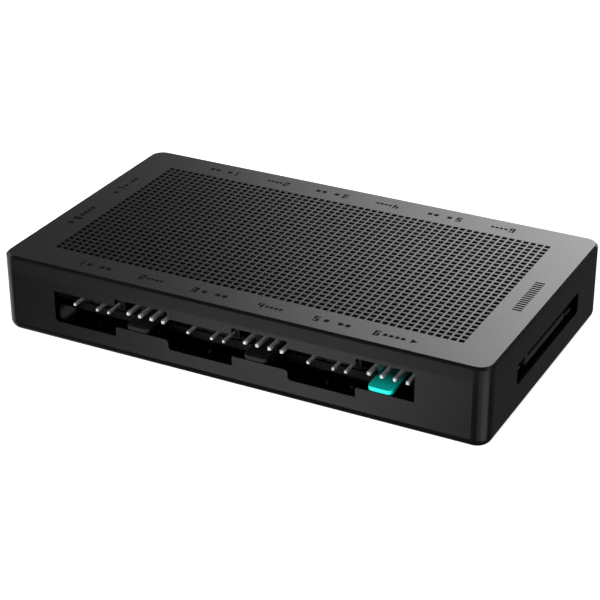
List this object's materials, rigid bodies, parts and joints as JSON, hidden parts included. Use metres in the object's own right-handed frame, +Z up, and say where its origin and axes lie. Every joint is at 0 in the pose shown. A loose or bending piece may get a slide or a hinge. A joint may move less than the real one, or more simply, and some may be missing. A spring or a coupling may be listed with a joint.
{
  "type": "pc fan controller hub",
  "caption": "Flat satin-black box hub with a dimpled top, stepped side windows over pin headers for fans and lights, and a power inlet slot at one end.",
  "frame": {"origin": "centre of the underside", "axes": "+X towards the power inlet end, -Y towards the front row of headers, +Z up"},
  "size_m": [0.1016, 0.0584, 0.0163],
  "materials": {
    "cover_plastic": "satin black moulded plastic with a fine grain",
    "tray_plastic": "satin black moulded plastic with a fine grain",
    "teal_plastic": "teal moulded plastic",
    "header_plastic": "black moulded plastic",
    "pin_metal": "bright tin plating",
    "board_laminate": "black coated laminate",
    "inlet_plastic": "black moulded plastic",
    "contact_gold": "thin gold plating",
    "chip_epoxy": "moulded epoxy",
    "lead_metal": "tinned leads",
    "capacitor_can": "bare can",
    "resistor_body": "coated chip body",
    "fuse_body": "coated polymer fuse",
    "screw_metal": "black plated steel",
    "magnet_nickel": "nickel plating"
  },
  "bodies": {
    "root": {"base_tray": "tray_plastic", "board_screws": "screw_metal", "capacitors": "capacitor_can", "case_screws": "screw_metal", "circuit_board": "board_laminate", "controller_chip": "chip_epoxy", "controller_leads": "lead_metal", "driver_chips": "chip_epoxy", "front_fan_1_header": "header_plastic", "front_fan_1_pins": "pin_metal", "front_fan_2_header": "header_plastic", "front_fan_2_pins": "pin_metal", "front_fan_3_header": "teal_plastic", "front_fan_3_pins": "pin_metal", "front_light_1_header": "header_plastic", "front_light_1_pins": "pin_metal", "front_light_2_header": "header_plastic", "front_light_2_pins": "pin_metal", "front_light_3_header": "header_plastic", "front_light_3_pins": "pin_metal", "fuse": "fuse_body", "input_fan_header": "header_plastic", "input_fan_pins": "pin_metal", "input_light_header": "header_plastic", "input_light_pins": "pin_metal", "magnets": "magnet_nickel", "power_inlet_body": "inlet_plastic", "power_inlet_contacts": "contact_gold", "rear_fan_1_header": "header_plastic", "rear_fan_1_pins": "pin_metal", "rear_fan_2_header": "header_plastic", "rear_fan_2_pins": "pin_metal", "rear_fan_3_header": "header_plastic", "rear_fan_3_pins": "pin_metal", "rear_light_1_header": "header_plastic", "rear_light_1_pins": "pin_metal", "rear_light_2_header": "header_plastic", "rear_light_2_pins": "pin_metal", "rear_light_3_header": "header_plastic", "rear_light_3_pins": "pin_metal", "resistors": "resistor_body", "top_cover": "cover_plastic"}
  },
  "joints": []
}
